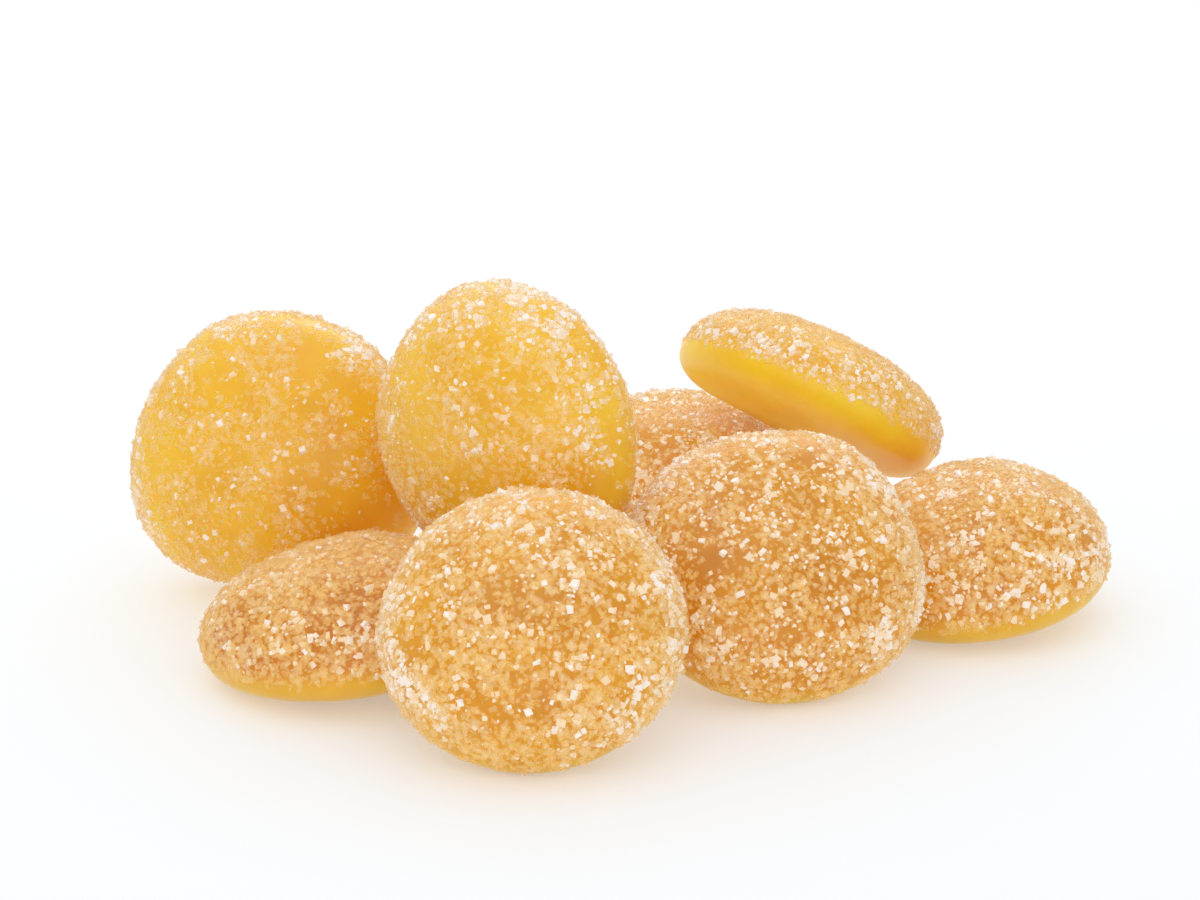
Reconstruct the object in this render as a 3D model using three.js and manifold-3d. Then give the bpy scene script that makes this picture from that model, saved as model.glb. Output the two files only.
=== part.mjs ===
// A small loose heap of sugared fruit gums, built as a scene graph of closed meshes.
//
// Units are millimetres and +Z is up. The heap lies on the plane z = 0, and the front of the heap
// faces -Y. Every gum is a moulded dome on a shallow rounded base, a little uneven, with the
// largest grains of its sugar coat fused on. Gums lean on each other with a thin gap between them.

import * as THREE from 'three';
import Module from 'manifold-3d';
import { mergeVertices } from 'three/addons/utils/BufferGeometryUtils.js';

const wasm = await Module();
wasm.setup();

// ---- Driving dimensions ----

const GUM_WIDTH = 24.2; // across the widest line of a middling gum
const DOME_HEIGHT = 8.4; // from the widest line up to the top
const BASE_DEPTH = 2.8; // from the widest line down to the underside
const DOME_POWER = 2.3; // 2 is an ellipse, more is fuller at the shoulder
const BASE_POWER = 3.2;
const FLAT_DEPTH = 0.16; // how much of a gum's lowest point is flattened where it rests

const GRAIN_LEAST = 0.8; // length of the fused sugar grains
const GRAIN_MOST = 1.2;
const GRAIN_ASPECT = [1, 0.8, 0.7];
const GRAIN_LIFT = 0.05; // how far a grain's middle stands off the gum, as a part of its length
const GRAINS_PER_GUM = 28;
const GRAIN_FOOT = 1.6; // a grain keeps this far above the floor
const GRAIN_ROOM = 1.1; // and this far off the next gum

const SIDES = 32; // steps round a gum
const RINGS = 14; // steps from the top to the underside

// ---- The gums ----
//
// Each gum's own frame has Z out of the top of its dome, X level, to the right as seen from in front
// of the dome, and Y uphill. tilt leans the dome forward from lying flat, in degrees, and turn is
// the direction that it leans in, from the front of the heap anticlockwise seen from above.
// at is where the middle of the widest line stands. A gum with no height of its own rests on the
// floor. wide, dome and base scale the driving dimensions. oval is how far the gum is out of
// round, along the angle ovalAt. Each swell is a low rise (or a hollow, if its height is below 0):
// an angle round the gum from X, a reach out from the axis, its spread and its height. One that is
// marked under is on the underside.

const GUMS = [
  {
    name: 'gum_back_left',
    at: [-28.4, -6.5], tilt: 76, turn: -11,
    wide: 1.04, dome: 1.06, base: 1.0, oval: 0.01, ovalAt: 30,
    swells: [
      { angle: 205, reach: 12, spread: 5, height: 0.6 },
      { angle: 155, reach: 12, spread: 5, height: -0.2 },
      { angle: 228, reach: 12.5, spread: 3.5, height: 0.9 },
      { angle: 255, reach: 12, spread: 5, height: -0.9 },
      { angle: 106, reach: 12, spread: 4, height: 0.4 },
      { angle: 40, reach: 12, spread: 6, height: 0.4 },
      { angle: 338, reach: 13.5, spread: 4.5, height: 2.2 },
    ],
  },
  {
    name: 'gum_back_middle',
    at: [-7, -19.3], height: 18.8, tilt: 92, turn: -37,
    wide: 1.025, dome: 1.01, base: 1.0, oval: 0.01, ovalAt: 100,
    swells: [
      { angle: 184, reach: 12, spread: 4.5, height: 0.7 },
      { angle: 150, reach: 12, spread: 5, height: -0.5 },
      { angle: 45, reach: 12, spread: 5, height: 0.2 },
      { angle: 230, reach: 12.3, spread: 5, height: 0.8 },
    ],
  },
  {
    name: 'gum_front_left',
    at: [-21, -26.5], tilt: 6, turn: -110,
    wide: 1.0, dome: 0.88, base: 1.0, oval: 0.01, ovalAt: 60,
    swells: [
      { angle: 250, reach: 9, spread: 6, height: -0.8 },
      { angle: 40, reach: 6, spread: 5, height: 0.3 },
    ],
  },
  {
    name: 'gum_front_middle',
    at: [-5.3, -39.5], tilt: 41, turn: -5,
    wide: 0.985, dome: 0.99, base: 1.0, oval: 0.01, ovalAt: 0,
    swells: [
      { angle: 250, reach: 8, spread: 5, height: 0.25 },
      { angle: 162, reach: 11, spread: 3.5, height: -0.4 },
    ],
  },
  {
    name: 'gum_front_right',
    at: [14.2, -25.5], tilt: 37, turn: 8,
    wide: 1.035, dome: 0.95, base: 1.0, oval: 0.01, ovalAt: 20,
    swells: [
      { angle: 88, reach: 12, spread: 5, height: -0.4 },
      { angle: 97, reach: 9.5, spread: 2.4, height: 0.35 },
      { angle: 68, reach: 10, spread: 2.4, height: 0.35 },
      { angle: 335, reach: 12, spread: 5, height: 0.2 },
      { angle: 12, reach: 12, spread: 5, height: -0.5 },
      { angle: 58, reach: 12, spread: 4, height: 0.7 },
    ],
  },
  {
    name: 'gum_behind',
    at: [7.6, 10.5], tilt: 1, turn: 30,
    wide: 0.965, dome: 1.01, base: 1.0, oval: 0.015, ovalAt: 45,
    swells: [
      { angle: 250, reach: 6, spread: 3.5, height: 0.3 },
      { angle: 200, reach: 8, spread: 3, height: -0.3 },
      { angle: 330, reach: 8, spread: 4, height: -0.4 },
    ],
  },
  {
    name: 'gum_upper_right',
    at: [18.7, 1], height: 14.9, tilt: 34, turn: 132,
    wide: 1.015, dome: 0.68, base: 1.2, oval: 0.01, ovalAt: 0,
    swells: [
      { angle: 0, reach: 12, spread: 5, height: -0.9 },
      { angle: 80, reach: 12, spread: 5, height: 0.2 },
      { angle: 45, reach: 12, spread: 5, height: -0.5 },
      { angle: 230, reach: 12, spread: 5, height: 0.4 },
      { angle: 45, reach: 10, spread: 4.5, height: 0.9, under: true },
      { angle: 234, reach: 10, spread: 3.5, height: 1.3, under: true },
    ],
  },
  {
    name: 'gum_right',
    at: [32.3, -13.4], tilt: 8, turn: -62,
    wide: 0.975, dome: 1.02, base: 1.0, oval: 0.012, ovalAt: 80,
    swells: [
      { angle: 120, reach: 5, spread: 3, height: 0.5 },
      { angle: 30, reach: 6, spread: 3, height: 0.4 },
      { angle: 75, reach: 5, spread: 2, height: -0.4 },
      { angle: 195, reach: 8, spread: 3.5, height: -0.6 },
    ],
  },
];

// ---- Helpers ----

const radians = THREE.MathUtils.degToRad;

// A repeatable stream of numbers from 0 to 1, so that the heap is the same each time.
function numbersFrom(seed) {
  let state = seed;
  return () => {
    state = (state + 0x6d2b79f5) | 0;
    let mixed = Math.imul(state ^ (state >>> 15), 1 | state);
    mixed = (mixed + Math.imul(mixed ^ (mixed >>> 7), 61 | mixed)) ^ mixed;
    return ((mixed ^ (mixed >>> 14)) >>> 0) / 4294967296;
  };
}

function solidFrom(geometry) {
  const bare = geometry.clone();
  bare.deleteAttribute('normal');
  bare.deleteAttribute('uv');
  const merged = mergeVertices(bare, 1e-4);
  return new wasm.Manifold(new wasm.Mesh({
    numProp: 3,
    vertProperties: new Float32Array(merged.attributes.position.array),
    triVerts: new Uint32Array(merged.index.array),
  }));
}

function geometryFrom(solid) {
  const { vertProperties, triVerts } = solid.getMesh();
  const geometry = new THREE.BufferGeometry();
  geometry.setAttribute('position', new THREE.BufferAttribute(vertProperties, 3));
  geometry.setIndex(new THREE.BufferAttribute(triVerts, 1));
  geometry.computeVertexNormals();
  return geometry;
}

// ---- One gum's surface, in its own frame ----

function sizesOf(gum) {
  return {
    radius: (GUM_WIDTH / 2) * gum.wide,
    dome: DOME_HEIGHT * gum.dome,
    base: BASE_DEPTH * gum.base,
  };
}

// The smooth bun: latitude runs from 90 at the top through 0 at the widest line to -90 underneath.
function bunPoint(gum, latitude, around) {
  const { radius, dome, base } = sizesOf(gum);
  const power = latitude >= 0 ? DOME_POWER : BASE_POWER;
  const out = Math.cos(latitude) ** (2 / power);
  const up = Math.abs(Math.sin(latitude)) ** (2 / power);
  const uneven = 1 + gum.oval * Math.cos(2 * (around - radians(gum.ovalAt)));
  const reach = radius * uneven * out;
  const height = latitude >= 0 ? dome * up : -base * up;
  return new THREE.Vector3(reach * Math.cos(around), reach * Math.sin(around), height);
}

// The way out of the bun at a point: the slope of its superellipse.
function bunNormal(gum, point) {
  const { radius, dome, base } = sizesOf(gum);
  const power = point.z >= 0 ? DOME_POWER : BASE_POWER;
  const tall = point.z >= 0 ? dome : base;
  const reach = Math.hypot(point.x, point.y);
  const sideways = (reach / radius) ** (power - 1) / radius;
  const upward = (Math.sign(point.z) * (Math.abs(point.z) / tall) ** (power - 1)) / tall;
  const share = reach > 1e-6 ? sideways / reach : 0;
  return new THREE.Vector3(point.x * share, point.y * share, upward).normalize();
}

// Height of the dome over a reach from the axis.
function domeAbove(gum, reach) {
  const { radius, dome } = sizesOf(gum);
  const share = Math.min(reach / radius, 1);
  return dome * (1 - share ** DOME_POWER) ** (1 / DOME_POWER);
}

function withSwells(gum, point) {
  const normal = bunNormal(gum, point);
  const moved = point.clone();
  for (const { angle, reach, spread, height, under } of gum.swells) {
    const middle = new THREE.Vector3(
      reach * Math.cos(radians(angle)),
      reach * Math.sin(radians(angle)),
      under ? -sizesOf(gum).base : domeAbove(gum, reach),
    );
    const share = Math.exp(-((point.distanceTo(middle) / spread) ** 2));
    moved.addScaledVector(normal, height * share);
  }
  return moved;
}

function surfacePoint(gum, latitude, around) {
  return withSwells(gum, bunPoint(gum, latitude, around));
}

function bodyGeometry(gum) {
  const geometry = new THREE.SphereGeometry(1, SIDES, RINGS);
  geometry.rotateX(Math.PI / 2);
  const { position } = geometry.attributes;
  const point = new THREE.Vector3();
  for (let i = 0; i < position.count; i += 1) {
    point.fromBufferAttribute(position, i);
    const latitude = Math.asin(THREE.MathUtils.clamp(point.z, -1, 1));
    const around = Math.atan2(point.y, point.x);
    point.copy(surfacePoint(gum, latitude, around));
    position.setXYZ(i, point.x, point.y, point.z);
  }
  return geometry;
}

// ---- Where a gum lies ----

function turnOf(gum) {
  return new THREE.Euler(radians(gum.tilt), 0, radians(gum.turn), 'ZXY');
}

// A gum on the floor is let down until FLAT_DEPTH of it is below the floor, where it is cut flat.
function placeOf(gum, geometry) {
  if (gum.height !== undefined) {
    return new THREE.Vector3(...gum.at, gum.height);
  }
  const turned = geometry.clone();
  turned.applyMatrix4(new THREE.Matrix4().makeRotationFromEuler(turnOf(gum)));
  turned.computeBoundingBox();
  return new THREE.Vector3(...gum.at, -turned.boundingBox.min.z - FLAT_DEPTH);
}

function placed(gum) {
  const geometry = bodyGeometry(gum);
  const place = placeOf(gum, geometry);
  const matrix = new THREE.Matrix4().makeRotationFromEuler(turnOf(gum)).setPosition(place);
  return { ...gum, geometry, place, matrix, back: matrix.clone().invert() };
}

// Roughly how far a point of the heap is outside a gum.
function distanceTo(gum, point) {
  const { radius, dome, base } = sizesOf(gum);
  const local = point.clone().applyMatrix4(gum.back);
  const tall = local.z >= 0 ? dome : base;
  const power = local.z >= 0 ? DOME_POWER : BASE_POWER;
  const sideways = (Math.hypot(local.x, local.y) / radius) ** power;
  const scale = (sideways + (Math.abs(local.z) / tall) ** power) ** (1 / power);
  return (local.length() * (scale - 1)) / scale;
}

// ---- Sugar ----

// One grain: a crystal like a small brick, turned at random and half sunk in the gum.
function grainSolid(gum, latitude, around, random) {
  const length = THREE.MathUtils.lerp(GRAIN_LEAST, GRAIN_MOST, random());
  const grain = new THREE.BoxGeometry(...GRAIN_ASPECT.map((part) => part * length));
  const turn = new THREE.Euler(random() * Math.PI, random() * Math.PI, random() * Math.PI);
  grain.applyMatrix4(new THREE.Matrix4().makeRotationFromEuler(turn));
  const point = surfacePoint(gum, latitude, around);
  const middle = point.clone().addScaledVector(bunNormal(gum, point), length * GRAIN_LIFT);
  grain.translate(middle.x, middle.y, middle.z);
  return solidFrom(grain);
}

// The grains lie in an even spiral over the dome, and stay clear of the floor and the other gums.
function grainSolids(gum, others, random) {
  const golden = Math.PI * (3 - Math.sqrt(5));
  const grains = [];
  for (let i = 0; i < GRAINS_PER_GUM; i += 1) {
    const latitude = Math.asin(1 - (i + 0.3 + 0.4 * random()) / GRAINS_PER_GUM);
    const around = i * golden + 0.5 * random();
    const spot = surfacePoint(gum, latitude, around).applyMatrix4(gum.matrix);
    const clear = others.every((other) => distanceTo(other, spot) > GRAIN_ROOM);
    if (clear && spot.z > GRAIN_FOOT) {
      grains.push(grainSolid(gum, latitude, around, random));
    }
  }
  return grains;
}

// ---- A whole gum ----

// The part of the gum's own space that is below the floor.
function floorSolid(gum) {
  const size = GUM_WIDTH * 4;
  const floor = new THREE.BoxGeometry(size, size, size);
  floor.translate(gum.place.x, gum.place.y, -size / 2);
  floor.applyMatrix4(gum.back);
  return solidFrom(floor);
}

function gumMesh(gum, others, seed, material) {
  const random = numbersFrom(seed);
  let solid = solidFrom(gum.geometry);
  for (const grain of grainSolids(gum, others, random)) {
    solid = solid.add(grain);
  }
  solid = solid.subtract(floorSolid(gum));
  const mesh = new THREE.Mesh(geometryFrom(solid), material);
  mesh.name = gum.name;
  mesh.rotation.copy(turnOf(gum));
  mesh.position.copy(gum.place);
  return mesh;
}

// ---- The heap ----

const SUGARED = new THREE.Color(0.86, 0.62, 0.33);
const CLEAR_AMBER = new THREE.Color(0.91, 0.63, 0.18);
const CLEARER_GUMS = ['gum_back_left', 'gum_back_middle', 'gum_upper_right'];

function gumMaterial(gum) {
  const color = CLEARER_GUMS.includes(gum.name) ? CLEAR_AMBER : SUGARED;
  return new THREE.MeshStandardMaterial({ color, roughness: 0.45, metalness: 0 });
}

function buildHeap() {
  const gums = GUMS.map(placed);
  const heap = new THREE.Group();
  gums.forEach((gum, i) => {
    const others = gums.filter((other) => other !== gum);
    heap.add(gumMesh(gum, others, 100 + i, gumMaterial(gum)));
  });
  return heap;
}

// The origin is under the middle of the heap's box, on the floor.
function centred(heap) {
  const group = new THREE.Group();
  group.add(heap);
  const middle = new THREE.Box3().setFromObject(heap, true).getCenter(new THREE.Vector3());
  heap.position.set(-middle.x, -middle.y, 0);
  return group;
}

export default centred(buildHeap());
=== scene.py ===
# A loose heap of sugared fruit gums: clear amber gel under coats of sugar grains, on a white table.
#
# Each gum's body is a smooth skin worked out from its solid in the frame. The sugar is a mesh of
# small crystals at true size, scattered over the domes and thinning out towards the bare feet.

import math
from collections import namedtuple

import bmesh
import bpy
import numpy as np
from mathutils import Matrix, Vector, noise
from mathutils.bvhtree import BVHTree
from mathutils.kdtree import KDTree


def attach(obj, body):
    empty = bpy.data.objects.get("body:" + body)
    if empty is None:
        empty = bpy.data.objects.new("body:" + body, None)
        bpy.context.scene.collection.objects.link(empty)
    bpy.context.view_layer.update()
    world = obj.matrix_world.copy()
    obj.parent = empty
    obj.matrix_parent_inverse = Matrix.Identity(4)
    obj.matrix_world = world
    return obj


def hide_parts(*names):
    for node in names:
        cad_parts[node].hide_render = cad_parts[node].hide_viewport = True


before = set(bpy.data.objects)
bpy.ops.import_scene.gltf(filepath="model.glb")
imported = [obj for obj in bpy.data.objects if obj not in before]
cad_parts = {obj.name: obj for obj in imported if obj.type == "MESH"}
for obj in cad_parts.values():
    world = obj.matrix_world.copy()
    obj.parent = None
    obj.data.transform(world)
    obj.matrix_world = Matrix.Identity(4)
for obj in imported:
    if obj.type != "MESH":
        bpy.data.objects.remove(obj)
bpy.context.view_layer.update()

MM = 0.001

# ---- The photograph's view, in the frame's own axes ----

VIEW_TARGET = Vector((-1.4, 14.2, 10.0)) * MM
VIEW_ELEVATION = math.radians(19.0)
VIEW_DISTANCE = 270 * MM
SENSOR_WIDTH = 36.0
LENS = 89.5
NEAR_CLIP = 10 * MM

# ---- Gum bodies ----

SKIN_DETAIL = 5  # subdivisions of the sphere that is shrunk onto each solid
SKIN_FLATTEN = 0.5  # the sphere's height before it is shrunk on, as a share of its width
SHAVED = 37  # points round each one whose median reach it takes, which shaves off big grains
SMOOTH_PASSES = 8
RELIEF = 0.10 * MM  # unevenness of the domes
RELIEF_SIZE = 3.0 * MM
BARE_RELIEF = 0.25  # the share of it that is left where the gel is bare
FLOOR_CLEAR = 0.02 * MM
BODY_SHIFT = 11.3  # how far the noise moves on from one gum's body to the next

# How a gum is measured
RADIUS_QUANTILE = 0.995  # its radius is this quantile of its surface's distance from the axis
WIDEST_BAND = 0.95  # its widest line is at the mean height of what lies beyond this share of it
CAP_DEPTH = 1.2 * MM  # of the caps that are compared to tell the dome from the base

# ---- Sugar: the grains ----

GRAIN_LENGTH = 0.31 * MM  # of the middling grain
GRAIN_SPREAD = 0.40  # of the logarithm of the length
GRAIN_LONGEST = 0.65 * MM
GRAIN_SHORTEST = 0.15 * MM
GRAIN_WIDTH = (0.55, 0.95)  # least and most, as shares of the length
GRAIN_HEIGHT = (0.4, 0.75)
GRAIN_JAG = 0.30  # how far a grain's corners stray from a box's, as a share of its length
GRAIN_LEAN = 0.4
GRAIN_LIFT = (-0.22, 0.14)  # of its middle above the skin, least and most, in lengths
NEAR_GUM = 1.0 * MM  # grains nearer than this to another gum are measured against its skin,
STANDS_OFF = 0.15  # and left out unless they stand this far off it, in lengths
CLEARNESS = 0.6  # how far a grain's shading follows the gum under it, as in a clear crystal
FACES_OUT = -0.3  # it does so on faces whose cosine to the gum's own direction is above this

# ---- Sugar: where it lies ----

TRIES = 5  # random places for each grain that is wanted
BARE_FOOT = 0.3 * MM  # how far below the widest line the sugar ends
LOW_SUGAR = {"gum_back_left": 0.9 * MM, "gum_back_middle": 1.8 * MM}  # the same, on these gums
FADE = 0.9 * MM  # over which it ends
LOW_RIM = 4.0 * MM  # the height below which the sugar thins out
RIM_LEFT = 0.35  # the share of it that is left at the table
RIM_BAND = (0.70, 0.97)  # from where the rim counts to where it is full, in shares of the radius
PATCH_SIZE = 4 * MM  # of the broad patches of thicker and thinner sugar
PATCH_DEPTH = 1.6
FLECK_SIZE = 1.4 * MM  # and of the fine ones
FLECK_DEPTH = 1.2
PATCH_THINNING = 0.2  # taken off all over
THINNEST = 0.06  # the sugar in a bare patch, as a share of its middling thickness
THICKEST = 1.6  # and in a full one
SUGAR_SHIFT = 5.7  # how far the noise moves on from one gum's sugar to the next
PATCH_SHIFT = 7  # and from there to each of its uses
FLECK_SHIFT = 19
CLUMP_SHIFT = 31

# Where sugar is rubbed off a gum's side: the way it faces, and the cosine at the patch's edge.
RUBBED = {
    "gum_back_left": ((0.85, -0.35, -0.45), 0.80),
    "gum_back_middle": ((0.90, -0.30, -0.42), 0.74),
}
RUB_SHARE = 0.9  # of the sugar, gone in the middle of the patch
RUB_EDGE = 0.1  # how far the edge reaches to either side, in cosine

# ---- Sugar: how dry it is, from 0 for wet and amber to 1 for dry and white, with painted light added ----

CLUMP_SIZE = 2.2 * MM
CLUMP_TONE = 0.38  # how much a clump changes it,
LIFT_TONE = 0.4  # how high the grain lies,
STRAY_TONE = 0.24  # and chance
RIM_PAINTED_HALO = 0.26  # how much whiter it is around the widest line: a painted halo of light through the sugar where it is seen edge-on
TOP_PAINTED_LIGHT = 0.10  # and how much whiter it is on what faces up, high in the heap, as painted light from above
FACES_UP = (0.4, 0.9)  # the normal's upward part from where that starts to where it is full
HIGH = (6 * MM, 13 * MM)  # and the height
FOOT_AMBER = 0.36  # how much more amber and less white it is at the table
FOOT_TONE_HEIGHT = 7 * MM  # and up to this height, less and less
WHITE_SHARE = 0.06  # of the grains, which are drier than the rest
WHITE_TONE = 0.5  # by this much
DRY_TONE = 0.66  # above this a grain can't be seen through

# ---- Colours and looks ----

# A deep and a bright colour for each kind of gel
LEMON = ((0.82, 0.55, 0.04), (0.88, 0.63, 0.055))
GOLDEN = ((0.76, 0.46, 0.03), (0.81, 0.54, 0.04))
CLEAR_HONEY = ((0.70, 0.40, 0.042), (0.77, 0.47, 0.055))
HONEY = ((0.655, 0.315, 0.017), (0.72, 0.38, 0.023))
AMBER = ((0.62, 0.28, 0.016), (0.69, 0.345, 0.023))
# An amber darkened further as painted shade, for the front left gum, which lies in the shade of the
# gums behind it
SHADED_AMBER = ((0.55, 0.22, 0.013), (0.62, 0.28, 0.019))
CLOUD_BAND = (0.35, 0.65)  # of the noise, from the deep colour to the bright one
GLOW_DEPTH = 12.0 * MM  # how far light goes in the gel
DIMPLE_DEPTH = 0.1 * MM

SUGAR_TONES = (
    (0.0, (0.96, 0.59, 0.17)),
    (0.4, (0.97, 0.66, 0.29)),
    (0.75, (0.98, 0.73, 0.47)),
    (1.0, (1.0, 0.88, 0.77)),
)
HALF_CLEAR = 0.36  # how solid the wet grains look

TABLE_HALF = 1.5  # half of the table's side, in metres
TABLE_COLOUR = (0.90, 0.915, 0.935, 1)
ROOM_COLOUR = (0.97, 0.99, 1, 1)
ROOM_STRENGTH = 0.77

# Each soft light's name, place and size, in metres, and its power in watts
LIGHTS = (
    ("back_softbox", (0.0, 0.55, 0.35), (0.7, 0.4), 1.3),
    ("top_softbox", (-0.1, -0.05, 0.6), (0.5, 0.5), 0.7),
    ("front_softbox", (0.0, -0.6, 0.15), (0.6, 0.3), 0.5),
)

# Each gum's gel, and the sugar it carries: how many grains at most, how patchy it lies, how worn
# the middle of the dome is, how coarse the grains are and how dry.
Coat = namedtuple("Coat", "gel grains patchy worn coarse dryness")
COATS = {
    "gum_back_left": Coat("golden", 9000, 0.8, 0.48, 1.0, 0.16),
    "gum_back_middle": Coat("golden", 9400, 0.6, 0.32, 1.0, 0.21),
    # Its darker gel and its wetter, more amber sugar are painted shade from the gums behind it.
    "gum_front_left": Coat("deep_amber", 9000, 0.35, 0.20, 1.1, 0.08),
    "gum_front_middle": Coat("honey", 9400, 0.5, 0.25, 1.05, 0.26),
    "gum_front_right": Coat("amber", 9400, 0.45, 0.25, 1.0, 0.32),
    "gum_behind": Coat("honey", 7000, 0.4, 0.15, 1.05, 0.38),
    "gum_upper_right": Coat("lemon", 8300, 0.2, 0.05, 1.0, 0.16),
    "gum_right": Coat("amber", 9000, 0.25, 0.15, 1.05, 0.28),
}


def rng_for(name):
    return np.random.default_rng(sum(ord(c) * (i + 1) for i, c in enumerate(name)))


def add_object(name, data):
    made = bpy.data.objects.new(name, data)
    bpy.context.scene.collection.objects.link(made)
    return made


# ---- Reading a gum from the frame ----


def solid_arrays(node):
    mesh = node.data
    mesh.calc_loop_triangles()
    places = np.empty(len(mesh.vertices) * 3)
    mesh.vertices.foreach_get("co", places)
    corners = np.empty(len(mesh.loop_triangles) * 3, np.int32)
    mesh.loop_triangles.foreach_get("vertices", corners)
    return places.reshape(-1, 3), corners.reshape(-1, 3)


class Gum:
    """Where a gum lies: the middle of its widest line, the axis out of its dome, and its sizes."""

    def __init__(self, name, node):
        self.name = name
        places, triangles = solid_arrays(node)
        self.tree = BVHTree.FromPolygons(places.tolist(), triangles.tolist())
        a, b, c = (places[triangles[:, i]] for i in range(3))
        areas = np.linalg.norm(np.cross(b - a, c - a), axis=1) / 2
        middles = (a + b + c) / 3
        centre = np.average(middles, axis=0, weights=areas)
        spread = np.cov((middles - centre).T, aweights=areas)
        axis = np.linalg.eigh(spread)[1][:, 0]
        axis = self.dome_side(middles - centre, areas, axis)
        along = (middles - centre) @ axis
        out = np.linalg.norm(middles - centre - along[:, None] * axis, axis=1)
        self.radius = np.quantile(out, RADIUS_QUANTILE)
        widest = along[out > WIDEST_BAND * self.radius].mean()
        self.axis = axis
        self.centre = centre + widest * axis
        self.dome = along.max() - widest
        self.base = widest - along.min()

    @staticmethod
    def dome_side(offsets, areas, axis):
        """The axis turned so that it leaves the rounder side: the base is flat out to its edge."""
        along = offsets @ axis
        out = np.linalg.norm(offsets - along[:, None] * axis, axis=1)
        high = along > along.max() - CAP_DEPTH
        low = along < along.min() + CAP_DEPTH
        width_above = np.average(out[high], weights=areas[high])
        width_below = np.average(out[low], weights=areas[low])
        return axis if width_above < width_below else -axis


# ---- The smooth skin ----


def unit_sphere(detail):
    """Its points, its faces, and the points beside each point: twelve points have only five, and
    count themselves as the sixth."""
    shape = bmesh.new()
    bmesh.ops.create_icosphere(shape, subdivisions=detail, radius=1.0)
    shape.verts.ensure_lookup_table()
    points = np.array([v.co[:] for v in shape.verts])
    faces = np.array([[v.index for v in f.verts] for f in shape.faces])
    beside = np.tile(np.arange(len(points))[:, None], (1, 6))
    for vert in shape.verts:
        for k, edge in enumerate(vert.link_edges):
            beside[vert.index, k] = edge.other_vert(vert).index
    shape.free()
    return points, faces, beside


def nearest_points(points, count):
    tree = KDTree(len(points))
    for index, point in enumerate(points):
        tree.insert(point, index)
    tree.balance()
    return np.array([[found[1] for found in tree.find_n(point, count)] for point in points])


SPHERE, SPHERE_FACES, BESIDE = unit_sphere(SKIN_DETAIL)
AROUND = nearest_points(SPHERE, SHAVED)


def turned_to(axis):
    """Columns: two directions across the gum and its axis."""
    return np.array(Vector(axis).to_track_quat("Z", "Y").to_matrix())


def skin_points(gum):
    """Where rays out of the gum's middle meet its solid, big grains shaved off and smoothed."""
    middle = gum.centre + gum.axis * (gum.dome - gum.base) / 2
    stretched = SPHERE * np.array([1, 1, SKIN_FLATTEN]) @ turned_to(gum.axis).T
    lengths = np.linalg.norm(stretched, axis=1)
    ways = stretched / lengths[:, None]
    reach = np.array([gum.tree.ray_cast(Vector(middle), Vector(way))[3] for way in ways])
    share = reach / lengths
    share = np.median(share[AROUND], axis=1)
    for _ in range(SMOOTH_PASSES):
        share = (share + share[BESIDE].mean(1)) / 2
    return middle + stretched * share[:, None]


def face_normals(points, faces):
    """Each as long as twice its face's area."""
    a, b, c = (points[faces[:, i]] for i in range(3))
    return np.cross(b - a, c - a)


def point_normals(points, faces):
    total = np.zeros_like(points)
    across = face_normals(points, faces)
    for i in range(3):
        np.add.at(total, faces[:, i], across)
    return total / np.linalg.norm(total, axis=1)[:, None]


def noise_at(points, size, shift):
    offset = Vector((shift, -shift, shift / 2))
    return np.array([noise.noise(Vector(p) / size + offset) for p in points])


def above_widest(gum, points):
    return (points - gum.centre) @ gum.axis


def smooth_step(values, low, high):
    t = np.clip((values - low) / (high - low), 0, 1)
    return t * t * (3 - 2 * t)


def make_body(gum, shift, material):
    """The gel. As a stand-in for clear gel, it casts no lamp shadow."""
    points = skin_points(gum)
    sugared = smooth_step(above_widest(gum, points), -BARE_FOOT - FADE, FADE)
    unevenness = BARE_RELIEF + (1 - BARE_RELIEF) * sugared
    rough = noise_at(points, RELIEF_SIZE, shift) * RELIEF * unevenness
    points = points + point_normals(points, SPHERE_FACES) * rough[:, None]
    points[:, 2] = np.maximum(points[:, 2], FLOOR_CLEAR)
    mesh = bpy.data.meshes.new(gum.name + "_body")
    mesh.from_pydata(points.tolist(), [], SPHERE_FACES.tolist())
    mesh.shade_smooth()
    coat = mesh.attributes.new("coat", "FLOAT", "POINT")
    coat.data.foreach_set("value", sugared)
    mesh.materials.append(material)
    body = add_object(gum.name + "_body", mesh)
    body.visible_shadow = False
    gum.points = points
    gum.normals = point_normals(points, SPHERE_FACES)
    gum.skin_tree = BVHTree.FromPolygons(points.tolist(), SPHERE_FACES.tolist())
    return body


# ---- Sugar grains ----

CUBE = np.array([[x, y, z] for x in (-1, 1) for y in (-1, 1) for z in (-1, 1)]) / 2
CUBE_FACES = np.array(
    [[0, 1, 3, 2], [4, 6, 7, 5], [0, 4, 5, 1], [2, 3, 7, 6], [0, 2, 6, 4], [1, 5, 7, 3]]
)


def rubbed_off(gum, places):
    """1 where the sugar is whole, down to 0 where the photograph shows it rubbed off."""
    left = np.clip(places[:, 2] / LOW_RIM, 0, 1) * (1 - RIM_LEFT) + RIM_LEFT
    if gum.name in RUBBED:
        way, edge = RUBBED[gum.name]
        out = places - gum.centre
        out /= np.linalg.norm(out, axis=1)[:, None]
        facing = out @ np.array(Vector(way).normalized())
        left *= 1 - RUB_SHARE * smooth_step(facing, edge - RUB_EDGE, edge + RUB_EDGE)
    return left


def towards_rim(gum, places):
    """0 over the middle of the dome, 1 at the gum's widest line."""
    from_axis = places - gum.centre - above_widest(gum, places)[:, None] * gum.axis
    return smooth_step(np.linalg.norm(from_axis, axis=1) / gum.radius, *RIM_BAND)


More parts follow.
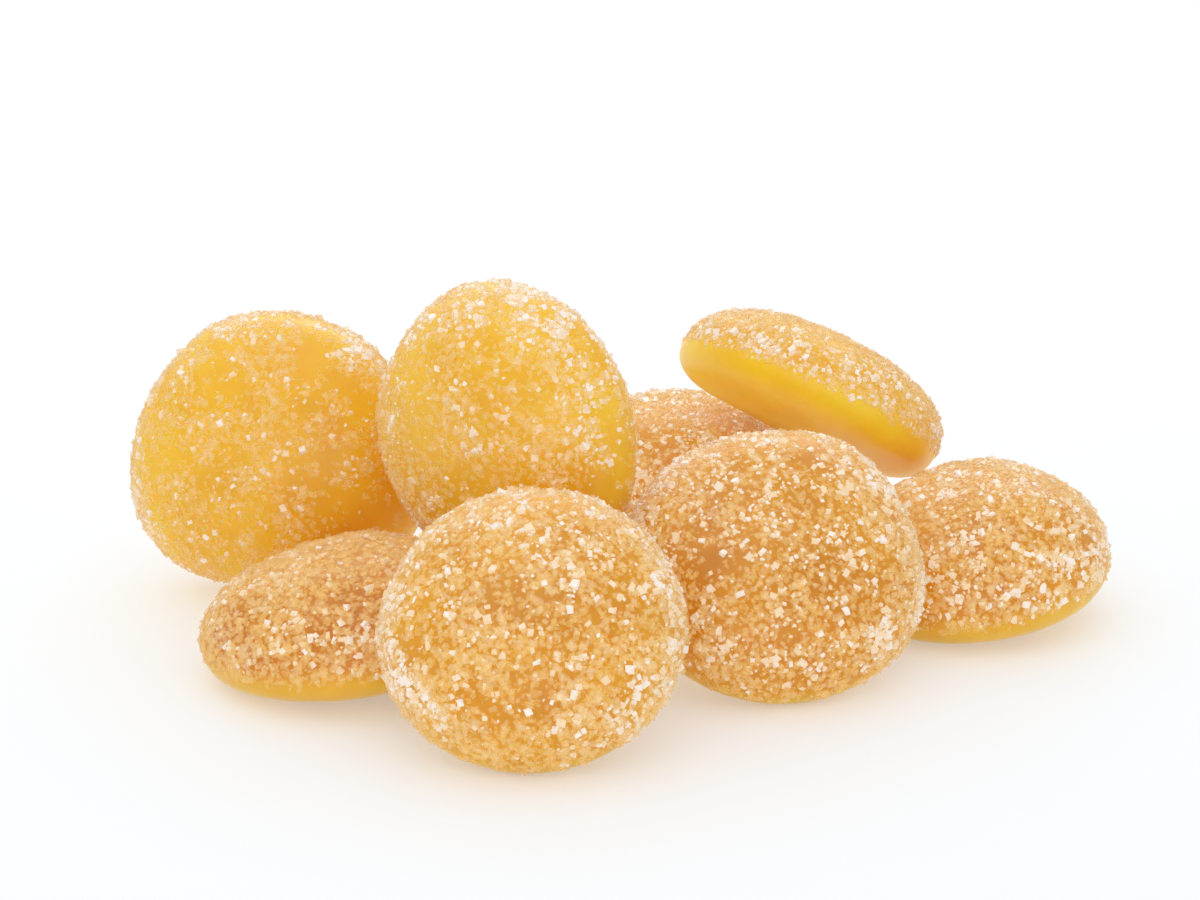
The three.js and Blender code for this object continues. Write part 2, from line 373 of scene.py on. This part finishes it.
def sugar_spots(gum, coat, shift, rng):
    """Random places on the skin, thick on the dome and thin or missing on the foot and base."""
    tries = coat.grains * TRIES
    weights = np.linalg.norm(face_normals(gum.points, SPHERE_FACES), axis=1)
    chosen = rng.choice(len(SPHERE_FACES), tries, p=weights / weights.sum())
    mix = rng.dirichlet((1, 1, 1), tries)
    corners = SPHERE_FACES[chosen]
    places = (gum.points[corners] * mix[:, :, None]).sum(1)
    normals = (gum.normals[corners] * mix[:, :, None]).sum(1)
    normals /= np.linalg.norm(normals, axis=1)[:, None]
    height = above_widest(gum, places)
    ends = -LOW_SUGAR.get(gum.name, BARE_FOOT)
    wanted = smooth_step(height, ends - FADE, ends) * rubbed_off(gum, places)
    broad = noise_at(places, PATCH_SIZE, shift + PATCH_SHIFT)
    fine = noise_at(places, FLECK_SIZE, shift + FLECK_SHIFT)
    uneven = PATCH_DEPTH * broad + FLECK_DEPTH * fine - PATCH_THINNING
    patches = np.clip(1 + coat.patchy * uneven, THINNEST, THICKEST)
    patches *= 1 - coat.worn * (1 - towards_rim(gum, places))
    keep = rng.random(tries) * THICKEST < wanted * patches
    return places[keep][: coat.grains], normals[keep][: coat.grains]


def grain_boxes(count, coarse, rng):
    """How long each grain is, and the corners of its jagged box, not yet turned or placed."""
    lengths = GRAIN_LENGTH * coarse * np.exp(GRAIN_SPREAD * rng.normal(size=count))
    lengths = np.clip(lengths, GRAIN_SHORTEST, GRAIN_LONGEST)
    widths = rng.uniform(*GRAIN_WIDTH, count)
    heights = rng.uniform(*GRAIN_HEIGHT, count)
    sides = np.stack([np.ones(count), widths, heights], 1)
    jag = rng.uniform(-GRAIN_JAG, GRAIN_JAG, (count, len(CUBE), 3))
    corners = CUBE[None] * (1 + jag)
    return lengths, corners * (sides * lengths[:, None])[:, None, :]


def grain_turns(normals, rng):
    """Each grain lies on the skin, turned any way about its normal and leaning a little."""
    count = len(normals)
    up = normals + GRAIN_LEAN * rng.normal(size=(count, 3))
    up /= np.linalg.norm(up, axis=1)[:, None]
    along = np.cross(up, rng.normal(size=(count, 3)))
    along /= np.linalg.norm(along, axis=1)[:, None]
    return np.stack([along, np.cross(up, along), up], axis=2)


def clear_of(others, middles, lengths, keep):
    """Of the grains to keep, those that don't lie in another gum or hard against it."""
    keep = keep.copy()
    for other in others:
        for i in np.flatnonzero(keep):
            middle = Vector(middles[i])
            place, normal, _, _ = other.skin_tree.find_nearest(middle, NEAR_GUM)
            if place is not None:
                keep[i] = (middle - place).dot(normal) >= STANDS_OFF * lengths[i]
    return keep


def grain_tones(gum, places, normals, lift, dryness, shift, rng):
    """0 for a grain that is wet with syrup and amber, 1 for a dry white one; painted light makes
    grains whiter around the widest line and on what faces up, and they are more amber at the table.
    """
    clumps = noise_at(places, CLUMP_SIZE, shift + CLUMP_SHIFT)
    strays = rng.normal(size=len(places))
    tones = dryness + CLUMP_TONE * clumps + LIFT_TONE * lift + STRAY_TONE * strays
    off_table = smooth_step(places[:, 2], 0, FOOT_TONE_HEIGHT)
    # Painted halo: grains around the widest line, off the table, are made whiter.
    tones += RIM_PAINTED_HALO * towards_rim(gum, places) * off_table
    # Painted light: grains that face up, high in the heap, are made whiter as if lit from above.
    tones += TOP_PAINTED_LIGHT * smooth_step(normals[:, 2], *FACES_UP) * smooth_step(places[:, 2], *HIGH)
    # Grains are more amber and less white towards the table.
    tones -= FOOT_AMBER * (1 - off_table)
    white = rng.random(len(places)) < WHITE_SHARE
    return np.clip(np.where(white, tones + WHITE_TONE, tones), 0, 1)


def shading_normals(points, faces, normals):
    """Each face's own, bent towards the gum's where it faces out, as light goes through a grain."""
    across = face_normals(points, faces[:, :3])
    across /= np.linalg.norm(across, axis=1)[:, None]
    under = np.repeat(normals, len(CUBE_FACES), axis=0)
    outward = (across * under).sum(1) > FACES_OUT
    across += CLEARNESS * outward[:, None] * under
    across /= np.linalg.norm(across, axis=1)[:, None]
    return np.repeat(across, 4, axis=0)


def sugar_mesh(name, corners, normals, tones):
    """One mesh of all the grains: corners holds eight points for each, tones how dry it is, with
    painted light added.
    """
    total = len(corners)
    faces = (np.arange(total)[:, None, None] * len(CUBE) + CUBE_FACES[None]).reshape(-1, 4)
    mesh = bpy.data.meshes.new(name)
    mesh.vertices.add(total * len(CUBE))
    mesh.vertices.foreach_set("co", corners.ravel())
    mesh.loops.add(len(faces) * 4)
    mesh.loops.foreach_set("vertex_index", faces.ravel())
    mesh.polygons.add(len(faces))
    mesh.polygons.foreach_set("loop_start", np.arange(0, len(faces) * 4, 4))
    mesh.update(calc_edges=True)
    shading = shading_normals(corners.reshape(-1, 3), faces, normals)
    mesh.normals_split_custom_set(shading.tolist())
    tone = mesh.attributes.new("tone", "FLOAT", "POINT")
    tone.data.foreach_set("value", np.repeat(tones, len(CUBE)))
    mesh.materials.append(SUGAR)
    mesh.materials.append(DRY_SUGAR)
    dry = np.repeat(tones > DRY_TONE, len(CUBE_FACES))
    mesh.polygons.foreach_set("material_index", dry.astype(np.int32))
    return mesh


def make_sugar(gum, others, coat, shift):
    """A gum's sugar. Like the gel it casts no lamp shadow, and it is left out of bounced light."""
    rng = rng_for(gum.name)
    places, normals = sugar_spots(gum, coat, shift, rng)
    lengths, corners = grain_boxes(len(places), coat.coarse, rng)
    corners = np.einsum("nij,nkj->nki", grain_turns(normals, rng), corners)
    lift = rng.uniform(*GRAIN_LIFT, len(places)) * lengths
    middles = places + normals * lift[:, None]
    corners = corners + middles[:, None, :]
    keep = corners[:, :, 2].min(1) > FLOOR_CLEAR
    keep = clear_of(others, middles, lengths, keep)
    tones = grain_tones(gum, places, normals, lift / lengths, coat.dryness, shift, rng)
    name = "sugar_on_" + gum.name
    sugar = add_object(name, sugar_mesh(name, corners[keep], normals[keep], tones[keep]))
    sugar.visible_shadow = False
    sugar.visible_diffuse = False
    return sugar


# ---- Materials ----


def new_material(name):
    material = bpy.data.materials.new(name)
    material.use_nodes = True
    return material, material.node_tree.nodes, material.node_tree.links


def colour_ramp(nodes, links, fac, low, high):
    ramp = nodes.new("ShaderNodeValToRGB")
    for stop, place, colour in zip(ramp.color_ramp.elements, CLOUD_BAND, (low, high)):
        stop.position = place
        stop.color = (*colour, 1)
    links.new(fac, ramp.inputs["Fac"])
    return ramp.outputs["Color"]


def gel_material(name, dome, foot, veil):
    """Translucent set gel, cloudy in places. dome and foot are each a deep and a bright colour."""
    material, nodes, links = new_material(name)
    shader = nodes["Principled BSDF"]
    where = nodes.new("ShaderNodeTexCoord")
    cloud = nodes.new("ShaderNodeTexNoise")
    cloud.inputs["Scale"].default_value = 180
    cloud.inputs["Detail"].default_value = 3
    links.new(where.outputs["Object"], cloud.inputs["Vector"])
    coat = nodes.new("ShaderNodeAttribute")
    coat.attribute_name = "coat"
    blend = nodes.new("ShaderNodeMix")
    blend.data_type = "RGBA"
    links.new(coat.outputs["Fac"], blend.inputs["Factor"])
    links.new(colour_ramp(nodes, links, cloud.outputs["Fac"], *foot), blend.inputs["A"])
    links.new(colour_ramp(nodes, links, cloud.outputs["Fac"], *dome), blend.inputs["B"])
    links.new(blend.outputs["Result"], shader.inputs["Base Color"])
    shader.inputs["Subsurface Weight"].default_value = 1.0
    shader.inputs["Subsurface Radius"].default_value = (1.0, 0.55, 0.12)
    shader.inputs["Subsurface Scale"].default_value = GLOW_DEPTH
    shader.inputs["Subsurface Anisotropy"].default_value = 0.5
    shader.inputs["Roughness"].default_value = 0.34
    shader.inputs["IOR"].default_value = 1.45
    shader.inputs["Sheen Weight"].default_value = veil
    shader.inputs["Sheen Roughness"].default_value = 0.3
    shader.inputs["Sheen Tint"].default_value = (1, 0.9, 0.76, 1)
    dimples = nodes.new("ShaderNodeTexNoise")
    dimples.inputs["Scale"].default_value = 900
    dimples.inputs["Detail"].default_value = 2
    links.new(where.outputs["Object"], dimples.inputs["Vector"])
    bump = nodes.new("ShaderNodeBump")
    bump.inputs["Strength"].default_value = 0.25
    bump.inputs["Distance"].default_value = DIMPLE_DEPTH
    links.new(dimples.outputs["Fac"], bump.inputs["Height"])
    links.new(bump.outputs["Normal"], shader.inputs["Normal"])
    return material


def sugar_material(name, solid):
    """Coloured by how dry each grain is, with painted light added. solid is 1 for a grain that
    can't be seen through.
    """
    material, nodes, links = new_material(name)
    shader = nodes["Principled BSDF"]
    tone = nodes.new("ShaderNodeAttribute")
    tone.attribute_name = "tone"
    ramp = nodes.new("ShaderNodeValToRGB")
    stops = ramp.color_ramp.elements
    while len(stops) < len(SUGAR_TONES):
        stops.new(0.5)
    for stop, (place, colour) in zip(stops, SUGAR_TONES):
        stop.position = place
        stop.color = (*colour, 1)
    links.new(tone.outputs["Fac"], ramp.inputs["Fac"])
    links.new(ramp.outputs["Color"], shader.inputs["Base Color"])
    shader.inputs["Alpha"].default_value = solid
    shader.inputs["Roughness"].default_value = 0.22
    shader.inputs["IOR"].default_value = 1.5
    shader.inputs["Sheen Weight"].default_value = 0.15
    shader.inputs["Sheen Roughness"].default_value = 0.4
    return material


# ---- The heap ----

GELS = {
    "lemon": gel_material("lemon_gel", CLEAR_HONEY, LEMON, 0.0),
    "golden": gel_material("golden_gel", GOLDEN, CLEAR_HONEY, 0.3),
    "honey": gel_material("honey_gel", HONEY, CLEAR_HONEY, 0.5),
    "amber": gel_material("amber_gel", AMBER, CLEAR_HONEY, 0.5),
    # Painted shade: a darker amber for the gum that lies in the shade of the others.
    "deep_amber": gel_material("deep_amber_gel", SHADED_AMBER, CLEAR_HONEY, 0.4),
}
SUGAR = sugar_material("sugar", HALF_CLEAR)
DRY_SUGAR = sugar_material("dry_sugar", 1.0)

gums = [Gum(name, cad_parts[name]) for name in COATS]
for index, gum in enumerate(gums):
    body = make_body(gum, BODY_SHIFT * index, GELS[COATS[gum.name].gel])
    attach(body, "root")
    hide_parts(gum.name)
for index, gum in enumerate(gums):
    others = [g for g in gums if g is not gum]
    sugar = make_sugar(gum, others, COATS[gum.name], SUGAR_SHIFT * index)
    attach(sugar, "root")


# ---- Table, light and camera ----


def make_table():
    ways = ((-1, -1), (1, -1), (1, 1), (-1, 1))
    corners = [(x * TABLE_HALF, y * TABLE_HALF, 0) for x, y in ways]
    mesh = bpy.data.meshes.new("table")
    mesh.from_pydata(corners, [], [(0, 1, 2, 3)])
    material, nodes, _ = new_material("white_table")
    shader = nodes["Principled BSDF"]
    shader.inputs["Base Color"].default_value = TABLE_COLOUR
    shader.inputs["Roughness"].default_value = 0.6
    mesh.materials.append(material)
    add_object("table", mesh)


def make_world():
    world = bpy.data.worlds.new("white_room")
    world.use_nodes = True
    backdrop = world.node_tree.nodes["Background"]
    backdrop.inputs["Color"].default_value = ROOM_COLOUR
    backdrop.inputs["Strength"].default_value = ROOM_STRENGTH
    bpy.context.scene.world = world


def soft_light(name, place, size, watts):
    data = bpy.data.lights.new(name, "AREA")
    data.shape = "RECTANGLE"
    data.size, data.size_y = size
    data.energy = watts
    light = add_object(name, data)
    light.location = place
    aim = VIEW_TARGET - light.location
    light.rotation_euler = aim.to_track_quat("-Z", "Y").to_euler()


def make_camera():
    data = bpy.data.cameras.new("camera")
    data.sensor_width = SENSOR_WIDTH
    data.lens = LENS
    data.clip_start = NEAR_CLIP
    camera = add_object("camera", data)
    away = Vector((0, -math.cos(VIEW_ELEVATION), math.sin(VIEW_ELEVATION)))
    camera.location = VIEW_TARGET + away * VIEW_DISTANCE
    camera.rotation_euler = (-away).to_track_quat("-Z", "Y").to_euler()
    bpy.context.scene.camera = camera


make_table()
make_world()
for light_facts in LIGHTS:
    soft_light(*light_facts)
make_camera()
bpy.context.scene.view_settings.view_transform = "Standard"
